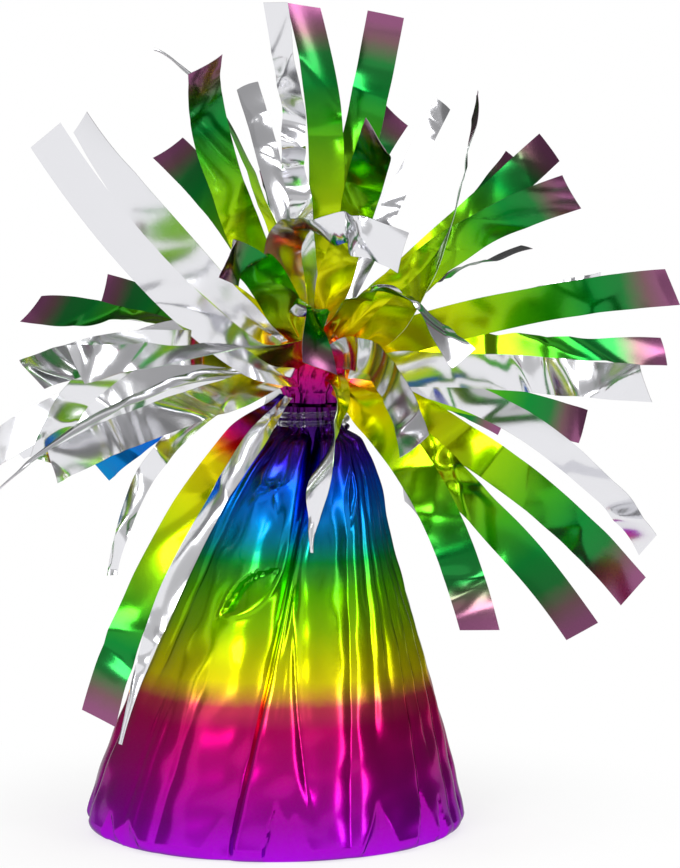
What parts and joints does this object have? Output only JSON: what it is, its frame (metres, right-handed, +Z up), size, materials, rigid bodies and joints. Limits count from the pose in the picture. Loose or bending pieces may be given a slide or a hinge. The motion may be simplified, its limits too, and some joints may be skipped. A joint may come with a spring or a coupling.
{
  "type": "balloon weight",
  "caption": "Foil balloon weight: a pleated foil cone over ballast, tied at the neck under a fringe of curling foil strips; a balloon's ribbon ties to the neck.",
  "frame": {"origin": "centre of the round foot, on the surface the weight stands on", "axes": "+Z up along the cone, -Y towards the viewer of the picture, +X to the viewer's right"},
  "size_m": [0.122, 0.1132, 0.141],
  "materials": {
    "wrap_foil": "metallised film, rainbow fade from violet at the foot through magenta, yellow, green and blue to purple at the neck",
    "fringe_foil": "metallised film, rainbow fade on one side and bare silver on the other",
    "tie_cord": "clear cord",
    "board": "plain greyboard",
    "cup_plastic": "thin moulded cup",
    "ballast": "cast ballast"
  },
  "bodies": {
    "weight": {"foil_wrap": "wrap_foil", "base_disc": "board", "ballast_cup": "cup_plastic", "ballast_fill": "ballast", "neck_tie": "tie_cord", "foil_bunch": "fringe_foil", "fringe_strip_01": "fringe_foil", "fringe_strip_02": "fringe_foil", "fringe_strip_04": "fringe_foil", "fringe_strip_05": "fringe_foil", "fringe_strip_06": "fringe_foil", "fringe_strip_09": "fringe_foil", "fringe_strip_10": "fringe_foil", "fringe_strip_11": "fringe_foil", "fringe_strip_13": "fringe_foil", "fringe_strip_14": "fringe_foil", "fringe_strip_15": "fringe_foil", "fringe_strip_17": "fringe_foil", "fringe_strip_18": "fringe_foil", "fringe_strip_19": "fringe_foil", "fringe_strip_21": "fringe_foil", "fringe_strip_22": "fringe_foil", "fringe_strip_24": "fringe_foil", "fringe_strip_25": "fringe_foil", "fringe_strip_26": "fringe_foil", "fringe_strip_28": "fringe_foil", "fringe_strip_29": "fringe_foil", "fringe_strip_30": "fringe_foil", "fringe_strip_31": "fringe_foil", "fringe_strip_33": "fringe_foil", "fringe_strip_34": "fringe_foil", "fringe_strip_36": "fringe_foil", "fringe_strip_37": "fringe_foil", "fringe_strip_38": "fringe_foil", "fringe_strip_39": "fringe_foil", "fringe_strip_40": "fringe_foil", "fringe_strip_41": "fringe_foil", "fringe_strip_42": "fringe_foil", "fringe_strip_43": "fringe_foil", "fringe_strip_44": "fringe_foil", "fringe_strip_45": "fringe_foil", "fringe_strip_46": "fringe_foil", "fringe_strip_47": "fringe_foil", "fringe_strip_50": "fringe_foil", "fringe_strip_52": "fringe_foil", "fringe_strip_53": "fringe_foil"},
    "strip_03": {"fringe_strip_03": "fringe_foil"},
    "strip_07": {"fringe_strip_07": "fringe_foil"},
    "strip_08": {"fringe_strip_08": "fringe_foil"},
    "strip_12": {"fringe_strip_12": "fringe_foil"},
    "strip_16": {"fringe_strip_16": "fringe_foil"},
    "strip_20": {"fringe_strip_20": "fringe_foil"},
    "strip_23": {"fringe_strip_23": "fringe_foil"},
    "strip_27": {"fringe_strip_27": "fringe_foil"},
    "strip_32": {"fringe_strip_32": "fringe_foil"},
    "strip_35": {"fringe_strip_35": "fringe_foil"},
    "strip_48": {"fringe_strip_48": "fringe_foil"},
    "strip_49": {"fringe_strip_49": "fringe_foil"},
    "strip_51": {"fringe_strip_51": "fringe_foil"},
    "strip_54": {"fringe_strip_54": "fringe_foil"}
  },
  "joints": [
    {"name": "strip_03_flex", "type": "hinge", "parent": "weight", "child": "strip_03", "pos_m": [0.00774, 0.00233, 0.08534], "axis": [0.9823, 0.0028, -0.1873], "range_deg": [-12, 3], "stiffness_Nm_per_rad": 0.004},
    {"name": "strip_07_flex", "type": "hinge", "parent": "weight", "child": "strip_07", "pos_m": [0.00793, -0.00248, 0.08524], "axis": [0.957, -0.1255, -0.2614], "range_deg": [-14, 8], "stiffness_Nm_per_rad": 0.004},
    {"name": "strip_08_flex", "type": "hinge", "parent": "weight", "child": "strip_08", "pos_m": [0.00725, 0.00427, 0.08435], "axis": [0.9722, 0.1022, -0.2106], "range_deg": [-12, 4], "stiffness_Nm_per_rad": 0.004},
    {"name": "strip_12_flex", "type": "hinge", "parent": "weight", "child": "strip_12", "pos_m": [0.01142, 0.00179, 0.08352], "axis": [0.7155, -0.2717, -0.6436], "range_deg": [-8, 20], "stiffness_Nm_per_rad": 0.004},
    {"name": "strip_16_flex", "type": "hinge", "parent": "weight", "child": "strip_16", "pos_m": [0.01302, -0.00115, 0.08121], "axis": [0.3368, -0.0594, -0.9397], "range_deg": [-20, 12], "stiffness_Nm_per_rad": 0.004},
    {"name": "strip_20_flex", "type": "hinge", "parent": "weight", "child": "strip_20", "pos_m": [0.01197, 0.00427, 0.07758], "axis": [-0.1368, -0.1069, -0.9848], "range_deg": [-12, 15], "stiffness_Nm_per_rad": 0.004},
    {"name": "strip_23_flex", "type": "hinge", "parent": "weight", "child": "strip_23", "pos_m": [0.01149, -0.0039, 0.07571], "axis": [-0.607, -0.1603, -0.7784], "range_deg": [-10, 12], "stiffness_Nm_per_rad": 0.004},
    {"name": "strip_27_flex", "type": "hinge", "parent": "weight", "child": "strip_27", "pos_m": [0.00165, -0.00237, 0.07427], "axis": [-0.7247, 0.2847, 0.6275], "range_deg": [-4, 8], "stiffness_Nm_per_rad": 0.004},
    {"name": "strip_32_flex", "type": "hinge", "parent": "weight", "child": "strip_32", "pos_m": [0.00168, 0.00499, 0.07758], "axis": [-0.1206, 0.1249, 0.9848], "range_deg": [-20, 14], "stiffness_Nm_per_rad": 0.004},
    {"name": "strip_35_flex", "type": "hinge", "parent": "weight", "child": "strip_35", "pos_m": [0.00508, -0.00669, 0.08051], "axis": [0.3818, 0.1513, 0.9118], "range_deg": [-6, 12], "stiffness_Nm_per_rad": 0.004},
    {"name": "strip_48_flex", "type": "hinge", "parent": "weight", "child": "strip_48", "pos_m": [-0.00054, 0.00025, 0.07905], "axis": [0.0492, 0.7648, 0.6424], "range_deg": [-18, 18], "stiffness_Nm_per_rad": 0.004},
    {"name": "strip_49_flex", "type": "hinge", "parent": "weight", "child": "strip_49", "pos_m": [0.00627, 0.00653, 0.08144], "axis": [0.9994, 0.0349, 0], "range_deg": [-22, 12], "stiffness_Nm_per_rad": 0.004},
    {"name": "strip_51_flex", "type": "hinge", "parent": "weight", "child": "strip_51", "pos_m": [0.00751, 0.00576, 0.07486], "axis": [0.9848, -0.1736, 0], "range_deg": [-12, 5], "stiffness_Nm_per_rad": 0.004},
    {"name": "strip_54_flex", "type": "hinge", "parent": "weight", "child": "strip_54", "pos_m": [0.0094, 0.00595, 0.07639], "axis": [0.3196, -0.4854, -0.8138], "range_deg": [-4, 8], "stiffness_Nm_per_rad": 0.004}
  ]
}
